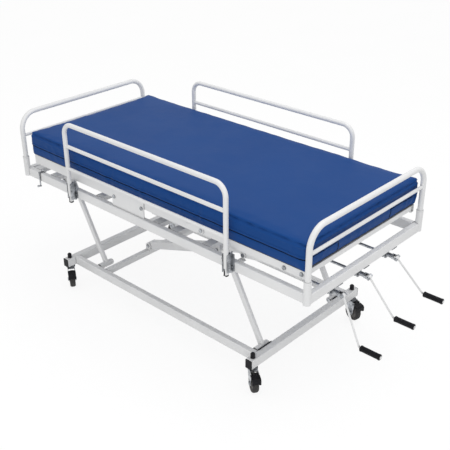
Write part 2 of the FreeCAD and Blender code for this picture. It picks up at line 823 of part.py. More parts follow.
def rail_bracket(x, has_latch):
    """A channel bolted to the frame rail, on the left side: back plate, two cheeks and a guide pin."""
    face = frame_half_width
    y1 = side_rail_y + side_tube_r - 3
    half = side_tube_r + cheek_gap
    pieces = [box(x - bracket_plate_w / 2, x + bracket_plate_w / 2, face, face + bracket_plate_t,
                  bracket_z0 + 12, bracket_z1 - 12)]
    for x0 in (x - half - cheek_t, x + half):
        outline = [(face, bracket_z0), (y1, bracket_z0 + 12), (y1, bracket_z1 - 14), (face, bracket_z1)]
        points = [V(x0, y, z) for y, z in outline]
        cheek = Part.Face(Part.makePolygon(points + points[:1])).extrude(V(cheek_t, 0, 0))
        pieces.append(cheek)
    pin_z = slot_top - slot_w / 2
    pieces.append(rod_y(x, pin_z, face + bracket_plate_t, side_rail_y + side_tube_r + 2, guide_pin_r))
    bolt_x = bracket_plate_w / 2 - 7
    for dx in (-bolt_x, bolt_x):
        if not (has_latch and dx < 0):
            pieces.append(rod_y(x + dx, frame_mid_z, face + bracket_plate_t, face + bracket_plate_t + 4, 5))
    latch_y = face + latch_stand_off
    if has_latch:
        ear = box(x - latch_ear_x - 2, x - latch_ear_x + 2, face + bracket_plate_t, latch_y,
                  latch_z - 8, latch_z + 8)
        end = rod(V(x - latch_ear_x - 2, latch_y, latch_z), V(x - latch_ear_x + 2, latch_y, latch_z), 8)
        pieces += [ear, end]
    bracket = weld(pieces)
    if has_latch:
        bracket = bracket.cut(rod(V(x - latch_reach, latch_y, latch_z), V(x - half + 1, latch_y, latch_z),
                                  latch_r + running_fit))
    return bracket


def rail_brackets():
    brackets = []
    for x, has_latch in ((side_rail_head_x, False), (side_rail_foot_x, True)):
        brackets += both_sides(rail_bracket(x, has_latch))
    return Part.makeCompound(brackets)


def rail_latch():
    """A turning latch on the left foot-end bracket: a bolt against the post and a hanging handle."""
    x = side_rail_foot_x
    y = frame_half_width + latch_stand_off
    tip = x - side_tube_r - soft_gap
    bolt = rod(V(x - latch_reach, y, latch_z), V(tip, y, latch_z), latch_r)
    handle_x1 = x - latch_ear_x - 2 - side_play
    hub = rod(V(handle_x1 - latch_handle_w, y, latch_z), V(handle_x1, y, latch_z), 6)
    handle = box(handle_x1 - latch_handle_w, handle_x1, y - latch_handle_t / 2, y + latch_handle_t / 2,
                 latch_z - latch_handle_l, latch_z)
    return weld([bolt, hub, handle])


def crank_brackets():
    """Two hanging plates and a bearing bush for each crank, under the foot end tube."""
    brackets = []
    for y in crank_ys.values():
        pieces = []
        for x in (crank_bracket_x, crank_bracket_x + crank_bracket_w - crank_bracket_t):
            plate = box(x, x + crank_bracket_t, y - crank_bracket_r, y + crank_bracket_r,
                        shaft_z, frame_bottom)
            rounded = rod(V(x, y, shaft_z), V(x + crank_bracket_t, y, shaft_z), crank_bracket_r)
            pieces += [plate, rounded]
        x0 = crank_bracket_x - 2
        x1 = crank_bracket_x + crank_bracket_w + 4
        pieces.append(rod(V(x0, y, shaft_z), V(x1, y, shaft_z), bearing_r))
        pieces.append(box(crank_bracket_x, foot_tube_x + frame_rail_w / 2, y - crank_bracket_r,
                          y + crank_bracket_r, frame_bottom - crank_flange_t, frame_bottom))
        bracket = weld(pieces)
        brackets.append(bracket.cut(rod(V(x0 - 1, y, shaft_z), V(x1 + 1, y, shaft_z), shaft_r + running_fit)))
    return Part.makeCompound(brackets)


def bag_hook():
    """A rod welded over the right-hand frame rail that hangs down its outer face, with a turned-out toe."""
    y_top = -frame_half_width + frame_rail_w - 8
    y_out = -frame_half_width - hook_r - 1
    z_top = frame_top + hook_r
    foot = frame_top - hook_drop
    run = rod(V(hook_x, y_top, z_top), V(hook_x, y_out - hook_r, z_top), hook_r)
    drop = rod(V(hook_x, y_out, z_top + hook_r), V(hook_x, y_out, foot), hook_r)
    toe = rod(V(hook_x, y_out + hook_r, foot), V(hook_x, y_out - hook_toe, foot + 4), hook_r)
    toe_y = y_out - hook_toe
    knob = rod(V(hook_x, toe_y, foot + 4), V(hook_x, toe_y - 5, foot + 5.4), hook_foot_r)
    plate = box(hook_x - 22, hook_x + 14, y_top, y_top + 14, frame_top, frame_top + 3)
    return weld([run, drop, toe, knob, plate])


# Platform

def seat_deck():
    """The fixed middle: a plate on each frame rail that holds both hinge bolts, and slats between them."""
    outer = section_rail_y + section_rail_w / 2
    y0 = outer + 1
    x0 = back_hinge_x - seat_plate_margin
    x1 = thigh_hinge_x + seat_plate_margin
    pieces = []
    slat_x0 = back_hinge_x + 56
    slat_x1 = thigh_hinge_x - 56
    for side in (-1, 1):
        y = min(side * y0, side * (y0 + seat_plate_t))
        plate = prism_y([(x0, frame_top), (x1, frame_top), (x1, platform_top - 6), (x1 - 8, platform_top),
                         (x0 + 8, platform_top), (x0, platform_top - 6)], y, y + seat_plate_t)
        for x in (back_hinge_x, thigh_hinge_x):
            plate = plate.cut(rod_y(x, section_hinge_z, y - 1, y + seat_plate_t + 1,
                                    hinge_bolt_r + running_fit))
        pieces.append(plate)
    middle = (slat_x0 + slat_x1) / 2
    for x in (slat_x0 + rung_w / 2, middle, slat_x1 - rung_w / 2):
        pieces.append(tube_y(-y0, y0, x, platform_top - rung_h / 2, rung_w, rung_h, section_wall))
    return weld(pieces)


def hinge_bolts():
    """Bolts through the seat plates, on which the backrest and the thigh section turn."""
    bolts = []
    plate_inner = section_rail_y + section_rail_w / 2 + 1
    for x in (back_hinge_x, thigh_hinge_x):
        bolts += both_sides(section_bolt(x, section_hinge_z, plate_inner + seat_plate_t))
    for side in (-1, 1):
        y_in = side * (calf_link_y - side_play)
        y_out = side * (calf_link_y + calf_link_t + side_play + lug_t)
        shank = rod_y(calf_link_frame_x, calf_link_frame_z, y_in, y_out, hinge_bolt_r)
        heads = [
            hexagon_y(calf_link_frame_x, calf_link_frame_z, y_in - side * bolt_head_t, y_in, bolt_head_r),
            hexagon_y(calf_link_frame_x, calf_link_frame_z, y_out, y_out + side * bolt_head_t, bolt_head_r),
        ]
        bolts.append(weld([shank] + heads))
    return Part.makeCompound(bolts)


def section_bolt(x, z, y_face):
    """A bolt on the left side whose head sits on a face at y_face and whose shank ends inside the rail."""
    inner = section_rail_y - section_rail_w / 2
    shank = rod_y(x, z, inner - 3, y_face, hinge_bolt_r)
    head = rod_y(x, z, y_face, y_face + bolt_head_t, bolt_head_r)
    nut = hexagon_y(x, z, inner - side_play - bolt_head_t, inner - side_play, bolt_head_r)
    return weld([shank, head, nut])


def section_ladder(x0, x1, rungs, end_x):
    """Cross rungs and lengthwise flat slats that carry the mattress between two side rails."""
    half = section_rail_y - section_rail_w / 2
    pieces = []
    rung_z = platform_top - slat_t - rung_h / 2
    for x in rungs:
        pieces.append(tube_y(-half, half, x, rung_z, rung_w, rung_h, section_wall))
    for y in slat_ys:
        pieces.append(box(x0, x1, y - slat_w / 2, y + slat_w / 2, platform_top - slat_t, platform_top))
    pieces.append(tube_y(-half, half, end_x, platform_top - rung_w / 2, rung_w, rung_w, section_wall))
    return pieces


def torque_tube(x, lever_y, pin, lever_r):
    """The round tube on a section's hinge line, with the lever that its push tube moves."""
    half = section_rail_y - section_rail_w / 2 - side_play - 5
    tube = rod_y(x, section_hinge_z, -half, half, torque_tube_r, torque_tube_r - 2.5)
    lever = strap(x, section_hinge_z, lever_r, pin[0], pin[1], lever_end_r, lever_y - lever_t / 2, lever_t)
    bore = rod_y(x, section_hinge_z, -half, half, torque_tube_r - 2.5)
    reach = lever_t / 2 + yoke_gap + yoke_t + 3
    stud = rod_y(pin[0], pin[1], lever_y - reach, lever_y + reach, lever_pin_r)
    return [tube, lever.cut(bore), stud]


def hinged_rail(x_pivot, x_end, height, side):
    """A section's side rail with an eye around its hinge bolt."""
    direction = 1 if x_end > x_pivot else -1
    x0 = x_pivot - direction * rail_end_round
    y = side * section_rail_y
    rail = tube_x(min(x0, x_end), max(x0, x_end), y, platform_top - height / 2,
                  section_rail_w, height, section_wall)
    y0 = y - section_rail_w / 2
    y1 = y0 + section_rail_w
    eye = rod_y(x_pivot, section_hinge_z, y0, y1, rail_end_round)
    return weld([rail, eye]).cut(rod_y(x_pivot, section_hinge_z, y0 - 1, y1 + 1, hinge_bolt_r + running_fit))


def backrest_frame():
    pieces = []
    head = -platform_half_length
    for side in (-1, 1):
        pieces.append(hinged_rail(back_hinge_x, head, back_rail_h, side))
    rungs = [head + inset for inset in back_rungs]
    pieces += section_ladder(head + rung_w, back_hinge_x - near_rung, rungs, head + rung_w / 2)
    half = section_rail_y - section_rail_w / 2
    near_x = back_hinge_x - near_rung - rung_w / 2
    rung_z = platform_top - slat_t - rung_h / 2
    pieces.append(tube_y(-half, half, near_x, rung_z, rung_w, rung_h, section_wall))
    pieces += torque_tube(back_hinge_x, crank_ys["back"], back_pin(0), torque_tube_r + 5)
    pieces += torque_webs(back_hinge_x, near_x)
    return weld(pieces)


def torque_webs(x, rung_x):
    """Plates that tie a torque tube to the nearest rung."""
    webs = []
    low = section_hinge_z
    high = platform_top - slat_t - rung_h
    toward = 1 if rung_x > x else -1
    for y in (-330.0, crank_ys["back"], 0.0, crank_ys["knee"], 330.0):
        outline = [
            (x + toward * (torque_tube_r - 1), low - 8), (x + toward * (torque_tube_r - 1), low + 8),
            (rung_x - rung_w / 2, high), (rung_x + rung_w / 2, high), (rung_x, high - 6),
        ]
        if toward < 0:
            outline = [outline[0], outline[1], outline[3], outline[2], outline[4]]
        webs.append(prism_y(outline, y - 3, y + 3))
    return webs


def thigh_frame():
    pieces = []
    end = knee_x - calf_rail_h / 2 - 4
    for side in (-1, 1):
        pieces.append(hinged_rail(thigh_hinge_x, end, thigh_rail_h, side))
        outer = side * (section_rail_y + section_rail_w / 2)
        y = min(outer, outer + side * seat_plate_t)
        plate = strap(knee_x - 90, knee_z - 2, 12, knee_x, knee_z, 17, y, seat_plate_t)
        bore = rod_y(knee_x, knee_z, y - 1, y + seat_plate_t + 1, hinge_bolt_r + running_fit)
        pieces.append(plate.cut(bore))
    rungs = [thigh_hinge_x + inset for inset in thigh_rungs]
    pieces += section_ladder(thigh_hinge_x + near_rung, end, rungs, end - rung_w / 2)
    half = section_rail_y - section_rail_w / 2
    near_x = thigh_hinge_x + near_rung + rung_w / 2
    rung_z = platform_top - slat_t - rung_h / 2
    pieces.append(tube_y(-half, half, near_x, rung_z, rung_w, rung_h, section_wall))
    pieces += torque_tube(thigh_hinge_x, crank_ys["knee"], knee_pin(0), torque_tube_r + 5)
    pieces += torque_webs(thigh_hinge_x, near_x)
    return weld(pieces)


def calf_frame():
    pieces = []
    foot = platform_half_length
    half_h = calf_rail_h / 2
    start = knee_x + calf_rail_h / 2 + 6
    for side in (-1, 1):
        y = side * section_rail_y
        rail = tube_x(knee_x, foot, y, knee_z, section_rail_w, calf_rail_h, section_wall)
        y0 = y - section_rail_w / 2
        eye = rod_y(knee_x, knee_z, y0, y0 + section_rail_w, half_h)
        y1 = y0 + section_rail_w + 1
        bore = rod_y(knee_x, knee_z, y0 - 1, y1, hinge_bolt_r + running_fit)
        link_bore = rod_y(calf_link_x, calf_link_z, y0 - 1, y1, hinge_bolt_r + running_fit)
        pieces.append(weld([rail, eye]).cut(bore).cut(link_bore))
    rungs = [foot - inset for inset in calf_rungs]
    pieces += section_ladder(start, foot - rung_w, rungs, foot - rung_w / 2)
    half = section_rail_y - section_rail_w / 2
    pieces.append(tube_y(-half, half, start + rung_w / 2, platform_top - slat_t - rung_h / 2,
                         rung_w, rung_h, section_wall))
    return weld(pieces)


def knee_bolts():
    """The two bolts of the knee hinge, held by the thigh section's plates."""
    outer = section_rail_y + section_rail_w / 2
    return Part.makeCompound(both_sides(section_bolt(knee_x, knee_z, outer + seat_plate_t)))


def calf_studs():
    """Studs of the calf section: one for each calf link's open eye, and a buffer near the foot."""
    outer = section_rail_y + section_rail_w / 2
    inner = calf_link_y - side_play
    shank = rod_y(calf_link_x, calf_link_z, inner, outer, hinge_bolt_r)
    washer = rod_y(calf_link_x, calf_link_z, inner - 2, inner, link_eye_r)
    nut = hexagon_y(calf_link_x, calf_link_z, inner - 2 - bolt_head_t, inner - 2, bolt_head_r)
    head = rod_y(calf_link_x, calf_link_z, outer, outer + bolt_head_t, bolt_head_r)
    buffer = rod_y(platform_half_length - 20, knee_z, outer, outer + bolt_head_t, bolt_head_r)
    return Part.makeCompound(both_sides(weld([shank, washer, nut, head])) + both_sides(buffer))


def calf_links():
    """Arms from the frame rails to the calf section, which hold its foot end up as the knee rises."""
    y0, y1 = calf_link_y, calf_link_y + calf_link_t
    arm = strap(calf_link_frame_x, calf_link_frame_z, calf_link_root, calf_link_x, calf_link_z,
                link_eye_r + 5, y0, calf_link_t)
    flange = prism_y([
        (calf_link_frame_x + 24, calf_link_frame_z - 10), (calf_link_x - 30, calf_link_z - 14),
        (calf_link_x - 30, calf_link_z - 11), (calf_link_frame_x + 24, calf_link_frame_z - 7),
    ], y0 - 10, y1)
    link = weld([arm, flange])
    link = link.cut(rod_y(calf_link_frame_x, calf_link_frame_z, y0 - 1, y1 + 1, hinge_bolt_r + running_fit))
    link = link.cut(rod_y(calf_link_x, calf_link_z, y0 - 1, y1 + 1, link_eye_r))
    return Part.makeCompound(both_sides(link))


# Cranks and push tubes

def crank_shaft(y):
    """A crank shaft with its thrust collars, the screw behind it, and the fork and pin of the fold joint."""
    front = crank_bracket_x + crank_bracket_w + 4 + side_play
    back = crank_bracket_x - 2 - side_play
    fork_start = crank_hinge_x - fork_reach
    half_eye = fold_eye_w / 2 + running_fit * 4
    pieces = [
        rod(V(back - collar_t, y, shaft_z), V(fork_start, y, shaft_z), shaft_r),
        rod(V(front, y, shaft_z), V(fork_start, y, shaft_z), shaft_r + 2.5),
        rod(V(back - collar_t, y, shaft_z), V(back, y, shaft_z), shaft_r + 3),
        rod(V(screw_end_x, y, shaft_z), V(back, y, shaft_z), screw_r),
    ]
    for side in (-1, 1):
        y0 = y + side * half_eye
        y1 = y0 + side * fork_cheek
        pieces.append(strap(fork_start, shaft_z, shaft_r, crank_hinge_x, shaft_z, fold_eye_r - 1,
                            min(y0, y1), fork_cheek))
    reach = half_eye + fork_cheek
    head = reach + 5
    web = box(fork_start - 6, fork_start + 1, y - reach, y + reach, shaft_z - shaft_r, shaft_z + shaft_r)
    pieces.append(web)
    pieces.append(rod_y(crank_hinge_x, shaft_z, y - head, y + head, fold_pin_r))
    for side in (-1, 1):
        pieces.append(rod_y(crank_hinge_x, shaft_z, y + side * reach, y + side * head, fold_pin_head_r))
    return weld(pieces)


def crank_arm(y):
    """The folding handle: an eye on the fold pin, a slanting rod and a spindle for the grip."""
    tip = V(crank_hinge_x + arm_run, y, shaft_z - arm_fall)
    hinge = V(crank_hinge_x, y, shaft_z)
    end = tip + V(spindle_length, 0, 0)
    start = hinge + (tip - hinge).normalize() * (fold_eye_r - 2)
    wire = bent_tube([start, tip, tip + V(grip_start, 0, 0)], arm_bend, arm_r)
    spindle = rod(tip + V(grip_start, 0, 0), end, spindle_r)
    washer = rod(end - V(3, 0, 0), end, spindle_r + 2.5)
    eye = rod_y(crank_hinge_x, shaft_z, y - fold_eye_w / 2, y + fold_eye_w / 2, fold_eye_r)
    arm = weld([wire, eye, spindle, washer])
    return arm.cut(rod_y(crank_hinge_x, shaft_z, y - 20, y + 20, fold_pin_r + running_fit))


def crank_grip(y):
    """A black sleeve that turns on the spindle, with rounded rims."""
    x0 = crank_hinge_x + arm_run + grip_start + side_play
    bore = spindle_r + running_fit
    outline = [
        (bore, 0), (grip_r - 2.5, 0), (grip_r, 2.5), (grip_r, 8), (grip_r - 1, 11),
        (grip_r - 1, grip_length - 11), (grip_r, grip_length - 8), (grip_r, grip_length - 2.5),
        (grip_r - 2.5, grip_length), (bore, grip_length),
    ]
    return lathe(outline, V(x0, y, shaft_z - arm_fall), X)


def turned(shape, name):
    """A crank piece, turned about its shaft to where it stands."""
    shape.rotate(V(0, crank_ys[name], shaft_z), X, crank_turns[name])
    return shape


def push_tube(y, nut_x, end_x):
    """A nut on the crank's screw, and the tube that carries its push towards the head end."""
    direction = V(nut_x, y, shaft_z)
    tube = rod(V(end_x, y, shaft_z), direction, push_tube_r, push_tube_r - push_tube_wall)
    nut = rod(direction - V(nut_length, 0, 0), direction, nut_r, screw_r + running_fit)
    return [tube, nut]


def yoked_tube(name, nut_x, pin_at, travel_range):
    """A push tube whose two yoke plates hold a lever's pin in an upright slot."""
    y = crank_ys[name]
    x = pin_at(0)[0]
    heights = [pin_at(travel_range * step / 12)[1] for step in range(13)]
    low, high = min(heights) - 1, max(heights) + 1
    pieces = push_tube(y, nut_x, x + lever_end_r + 8)
    half = lever_pin_r + yoke_play
    for side in (-1, 1):
        y0 = y + side * (lever_t / 2 + yoke_gap)
        y1 = y0 + side * yoke_t
        plate = box(x - half - yoke_rim, x + half + yoke_rim + 14, min(y0, y1), max(y0, y1),
                    shaft_z - push_tube_r, high + half + yoke_rim)
        slot = weld([
            box(x - half, x + half, min(y0, y1) - 1, max(y0, y1) + 1, low, high),
            rod_y(x, low, min(y0, y1) - 1, max(y0, y1) + 1, half),
            rod_y(x, high, min(y0, y1) - 1, max(y0, y1) + 1, half),
        ])
        pieces.append(plate.cut(slot))
    return weld(pieces)


def lift_nut():
    """The middle screw's nut, with two trunnions that stop short of the lift link's cheeks."""
    y = crank_ys["lift"]
    x = lift_trunnion_x
    reach = link_w / 2 - link_wall - soft_gap
    nut = rod(V(x - nut_length / 2, y, shaft_z), V(x + nut_length / 2, y, shaft_z), nut_r)
    bar = rod_y(x, shaft_z, y - reach, y + reach, trunnion_r + 3)
    bore = rod(V(x - nut_length, y, shaft_z), V(x + nut_length, y, shaft_z), screw_r + running_fit)
    return weld([nut, bar]).cut(bore)


def lift_link():
    """A tapered box beam from the base to the middle push tube, open as a fork where the screw runs."""
    dx = lift_trunnion_x - lift_pivot_x
    dz = shaft_z - lift_pivot_z
    length = math.hypot(dx, dz)
    belly = 0.3 * length
    half = link_w / 2
    deep = link_deep / 2
    outer = weld([
        strap(0, 0, link_root_r, belly, 0, deep, -half, link_w),
        strap(belly, 0, deep, length, 0, link_tip_r, -half, link_w),
    ])
    inner_half = half - link_wall
    fork_x = length - link_fork_length
    hollow = prism_y([
        (link_root_r + 14, -link_root_r + 5), (belly, -deep + link_wall), (fork_x, -link_tip_r),
        (fork_x, link_tip_r), (belly, deep - link_wall), (link_root_r + 14, link_root_r - 5),
    ], -inner_half, inner_half)
    fork = box(fork_x, length + link_tip_r + 1, -inner_half, inner_half, -deep, deep)
    beam = outer.cut(hollow).cut(fork)
    beam = beam.cut(rod_y(0, 0, -half - 1, half + 1, trunnion_r + running_fit))
    beam.rotate(V(0, 0, 0), Y, -math.degrees(math.atan2(dz, dx)))
    beam.translate(V(lift_pivot_x, crank_ys["lift"], lift_pivot_z))
    return beam


# Mattress

def mattress_piece(outline):
    """The part of the mattress inside an outline in the XZ plane."""
    half = mattress_length / 2
    face = rounded_rect(mattress_width, mattress_thick, mattress_edge_round)
    whole = face.extrude(V(mattress_length, 0, 0))
    whole.translate(V(-half, 0, mattress_bottom + mattress_thick / 2))
    return whole.common(prism_y(outline, -mattress_width, mattress_width))


def fold_x(hinge_x, fold, z):
    """The x, at height z, of a plane through a hinge line that leans by half of its fold angle."""
    return hinge_x + (z - section_hinge_z) * math.tan(math.radians(fold / 2))


def mattress_pieces():
    """Backrest, seat, thigh and calf lengths. The seat length takes up both folds."""
    low = mattress_bottom - 1
    high = mattress_top + 1
    far = mattress_length
    back_low = fold_x(back_hinge_x, -back_range, low)
    back_high = fold_x(back_hinge_x, -back_range, high)
    seat_low = fold_x(thigh_hinge_x, thigh_range, low)
    seat_high = fold_x(thigh_hinge_x, thigh_range, high)
    g = soft_gap
    return {
        "mattress_back": mattress_piece([(-far, low), (back_low - g, low), (back_high - g, high),
                                         (-far, high)]),
        "mattress_seat": mattress_piece([(back_low + g, low), (seat_low - g, low), (seat_high - g, high),
                                         (back_high + g, high)]),
        "mattress_thigh": mattress_piece([(seat_low + g, low), (knee_x - g, low), (knee_x - g, high),
                                          (seat_high + g, high)]),
        "mattress_calf": mattress_piece([(knee_x + g, low), (far, low), (far, high), (knee_x + g, high)]),
    }


def nodes():
    parts = {
        "base_frame": base_frame(),
        "base_end_caps": base_end_caps(),
        "stem_caps": stem_caps(),
        "caster_stems": caster_stems(),
        "base_pivot_pins": base_pivot_pins(),
        "legs_foot": leg_pair(foot_base_pivot_x, foot_top_pivot_x),
        "legs_head": leg_pair(head_base_pivot_x, head_top_pivot_x),
        "leg_top_pins": leg_top_pins(),
        "lift_link": lift_link(),
        "lift_nut": lift_nut(),
        "upper_frame": upper_frame(),
        "corner_sockets": corner_sockets(),
        "seat_deck": seat_deck(),
        "hinge_bolts": hinge_bolts(),
        "rail_brackets": rail_brackets(),
        "crank_brackets": crank_brackets(),
        "bag_hook": bag_hook(),
        "backrest_frame": backrest_frame(),
        "thigh_frame": thigh_frame(),
        "calf_frame": calf_frame(),
        "knee_bolts": knee_bolts(),
        "calf_studs": calf_studs(),
        "calf_links": calf_links(),
        "back_push_tube": yoked_tube("back", back_nut_x, back_pin, back_range),
        "knee_push_tube": yoked_tube("knee", knee_nut_x, knee_pin, thigh_range),
        "head_board": end_board(head_post_x, head_board_top),
        "foot_board": end_board(foot_post_x, foot_board_top),
    }
    for name in caster_centres():
        parts["caster_fork_" + name] = placed_caster(caster_fork(), name)
        parts["caster_wheel_" + name] = placed_caster(caster_wheel(), name)
        parts["brake_pedal_" + name] = placed_caster(brake_pedal(), name)
    for name, y in crank_ys.items():
        parts["crank_shaft_" + name] = turned(crank_shaft(y), name)
        parts["crank_arm_" + name] = turned(crank_arm(y), name)
        parts["crank_grip_" + name] = turned(crank_grip(y), name)
    for name, side in SIDES:
        parts["side_rail_" + name] = side_rail(side)
        parts["rail_caps_" + name] = rail_caps(side)
    parts["rail_latch_left"] = rail_latch()
    parts["rail_latch_right"] = mirrored(rail_latch())
    parts.update(mattress_pieces())
    return parts


def main():
    os.makedirs("parts", exist_ok=True)
    for name, shape in nodes().items():
        shape.translate(V(-origin_x, 0, 0))
        shape.exportStep("parts/" + name + ".step")


if __name__ == "__main__":
    main()
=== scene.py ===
import json
import math

import bmesh
import bpy
from mathutils import Matrix, Vector, noise
from mathutils.bvhtree import BVHTree


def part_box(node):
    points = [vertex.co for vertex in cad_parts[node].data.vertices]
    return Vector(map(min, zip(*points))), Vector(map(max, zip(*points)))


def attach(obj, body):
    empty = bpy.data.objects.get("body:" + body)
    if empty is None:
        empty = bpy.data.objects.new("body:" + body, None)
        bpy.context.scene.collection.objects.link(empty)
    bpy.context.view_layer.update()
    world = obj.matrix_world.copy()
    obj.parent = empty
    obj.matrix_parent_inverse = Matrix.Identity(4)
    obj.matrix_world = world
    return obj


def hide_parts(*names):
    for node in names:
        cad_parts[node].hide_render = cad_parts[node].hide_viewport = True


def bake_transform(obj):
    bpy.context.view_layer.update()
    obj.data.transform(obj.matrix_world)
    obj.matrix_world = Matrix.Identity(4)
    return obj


# Looks of the hospital bed: a sewn mattress cover in back, thigh and calf pieces, and a procedural
# finish for every rigid piece. Lengths are in metres, in the frame of the imported model.

# Camera, with its lens and sensor in millimetres
camera_place = Vector((2.5620, -2.7427, 2.5092))
camera_aim = Vector((0.0792, -0.0748, 0.6))
camera_roll = math.radians(-0.36)
camera_lens = 62.44
camera_sensor = 36.0

# Mattress cover: its grid, its rounded edges and the swell of its top and sides
cover_inset = 0.0015
cover_edge_round = 0.012
edge_shares = (0.0, 0.3, 0.65, 1.0)
grid_step = 0.012
row_gap = 0.004
crown = 0.0022
top_start = 0.6
head_dip = 0.003
head_dip_fade = 0.03
edge_fade = 0.05
side_bulge = 0.0022
side_fade = 0.012
corner_fade = 0.10

# Noise on the cover: its height, grains per metre along the bed and upwards, and its seed
crown_wave = (0.0016, 4.0, 1.0, 3.0)
edge_wave = (0.0022, 17.0, 6.0, 11.0)
side_wave = (0.0012, 26.0, 5.0, 7.0)
corner_wave = (0.0022, 55.0, 9.0, 19.0)
loose_wave = (0.9, 24.0, 1.0, 31.0)
crease_wave = (1.0, 9.0, 5.0, 23.0)

# Seam and groove round the sides, each at a drop below the top, and the grid rows there
sew_depth = 0.012
sew_top = 0.004
seam_drop = 0.0245
seam_out = 0.0036
seam_width = 0.0045
groove_drop = 0.0140
groove_in = 0.0080
groove_width = 0.0060
loose_mean = 0.75
seam_rows = (
    0.0055, 0.0082, 0.0110, groove_drop, 0.0170, 0.0195, 0.0220, seam_drop, 0.0270, 0.0300)

# Creases of the sides, stronger on the foot face, and the slanting marks over the folds
crease_out = 0.0036
crease_sharp = 7
crease_drop = 0.01
crease_width = 0.055
crease_foot = 1.7
crease_side = 0.8
foot_depth = 0.01
mark_slant = 0.25
mark_height = 0.0028
mark_ahead = 0.016
mark_ridge = 0.010
mark_groove = 0.009

# Zip round the sides, the flap above it, the tape below it and the seams at its ends
zip_z = 0.860
zip_half = 0.0046
zip_sink = 0.0018
zip_pull = 0.6
zip_pull_width = 0.012
zip_foot_reach = 0.235
coil_thick = 0.0008
flap_start = 0.4
flap_height = 0.013
flap_thick = 0.0016
flap_flare = 0.0012
tape_height = 0.010
tape_thick = 0.0006
end_half = 0.0025
end_rows = 8
tuck = 0.001
ray_start = 0.05

# Ribs of the zip's coil: Blender's diagonal bands lie 2 * band_unit / scale apart
rib_half = 0.0028
band_unit = 0.31

# Black rods of painted shadow in the gaps beside the feet of the foot-end legs
gap_shadow_r = 0.0026
gap_shadow_length = 0.098
gap_shadow_ahead = 0.0225
gap_shadow_y = 0.3065

# Bends of the mattress: each one's reach on both sides of its hinge line, the x of the cuts
# between its pieces, and the hollow below the valley folds
fold_half = 0.07
knee_half = 0.12
seat_split = -0.254
thigh_split = 0.031
fold_relief = 0.009
relief_half = 0.06

# Cloth
cloth_frames = 14
cloth_cap = 0.0035
cloth_pressure = 1.6
cloth_growth = -0.012
cloth_quality = 4
cloth_mass = 0.2
cloth_stiffness = 0.6

# Colours, as linear red, green and blue
white_low = (0.80, 0.805, 0.81)
white_high = (0.87, 0.873, 0.876)
white_scuff = (0.66, 0.66, 0.65)
# Painted shade that darkens the white paint in each crevice and where parts meet
white_crevice_shade = (0.10, 0.10, 0.105)
zinc_dull = (0.25, 0.26, 0.275)
zinc_bright = (0.54, 0.56, 0.59)
# Painted shade that darkens the zinc in each crevice and where parts meet
zinc_crevice_shade = (0.02, 0.02, 0.022)
black_low = (0.006, 0.006, 0.008)
black_high = (0.014, 0.014, 0.017)
hub_low = (0.060, 0.055, 0.052)
hub_high = (0.105, 0.095, 0.090)
tread_low = (0.014, 0.014, 0.015)
tread_high = (0.040, 0.038, 0.037)
blue_low = (0.006, 0.055, 0.226)
blue_high = (0.008, 0.061, 0.242)
blue_crease = (0.014, 0.070, 0.262)
# Painted shade that darkens the blue cover in its groove, under the zip's flap and in each crevice
blue_crevice_shade = (0.002, 0.010, 0.040)
coil_low = (0.001, 0.002, 0.005)
coil_high = (0.003, 0.006, 0.016)
floor_low = (0.49, 0.49, 0.49)
floor_high = (0.51, 0.51, 0.51)
floor_bounce = (0.72, 0.72, 0.72, 1.0)
pure_white = (1, 1, 1, 1)

# Painted crevice shade: how far each finish looks for other surfaces, how dark the painted shade
# gets, and the openness at which it is full and at which it ends
white_reach = 0.016
zinc_reach = 0.020
blue_reach = 0.018
crevice_shade_most = 0.85
crevice_shade_full = 0.25
crevice_shade_end = 0.80
crevice_shade_rays = 8

# Wheels: where the tyre starts, as a share of the wheel's radius, and the width of that edge
tyre_share = 0.70
tyre_edge = 0.0015

# Light and floor: each lamp's place, side and power in watts
floor_radius = 14.0
floor_glow = 1.25
shadow_share = 0.3
world_light = 0.69
lamps = {
    "top": ((1.2, 0.4, 4.6), 3.2, 54.0),
    "front": ((2.6, -4.2, 1.6), 3.0, 41.0),
}

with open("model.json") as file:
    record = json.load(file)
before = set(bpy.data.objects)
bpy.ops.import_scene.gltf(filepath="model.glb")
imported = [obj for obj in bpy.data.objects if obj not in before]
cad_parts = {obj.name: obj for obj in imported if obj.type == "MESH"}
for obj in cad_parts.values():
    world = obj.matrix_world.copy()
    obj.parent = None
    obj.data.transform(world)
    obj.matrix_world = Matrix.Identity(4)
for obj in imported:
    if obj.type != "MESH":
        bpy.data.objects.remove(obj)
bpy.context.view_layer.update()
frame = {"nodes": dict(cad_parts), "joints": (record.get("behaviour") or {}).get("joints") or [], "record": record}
joints = {j["name"]: j for j in frame["joints"]}


# Shader helpers

def new_material(name):
    material = bpy.data.materials.new(name)
    material.use_nodes = True
    tree = material.node_tree
    return material, tree, tree.nodes["Principled BSDF"]


def add(tree, kind, **values):
    """A new node; each value goes to the input socket, or else the property, of that name."""
    made = tree.nodes.new(kind)
    for key, value in values.items():
        label = key.replace("_", " ").title()
        if label in made.inputs:
            made.inputs[label].default_value = value
        else:
            setattr(made, key, value)
    return made


def place(tree, stretch=(1.0, 1.0, 1.0)):
    """The point being shaded, in the piece's own frame, stretched by a factor along each axis."""
    where = tree.nodes.new("ShaderNodeTexCoord")
    mapping = tree.nodes.new("ShaderNodeMapping")
    mapping.inputs["Scale"].default_value = stretch
    tree.links.new(where.outputs["Object"], mapping.inputs["Vector"])
    return mapping.outputs["Vector"]


def cloud(tree, scale, detail=3.0, stretch=(1.0, 1.0, 1.0)):
    """Noise from 0 to 1, with scale in grains per metre."""
    made = add(tree, "ShaderNodeTexNoise", scale=scale, detail=detail)
    tree.links.new(place(tree, stretch), made.inputs["Vector"])
    return made.outputs["Fac"]


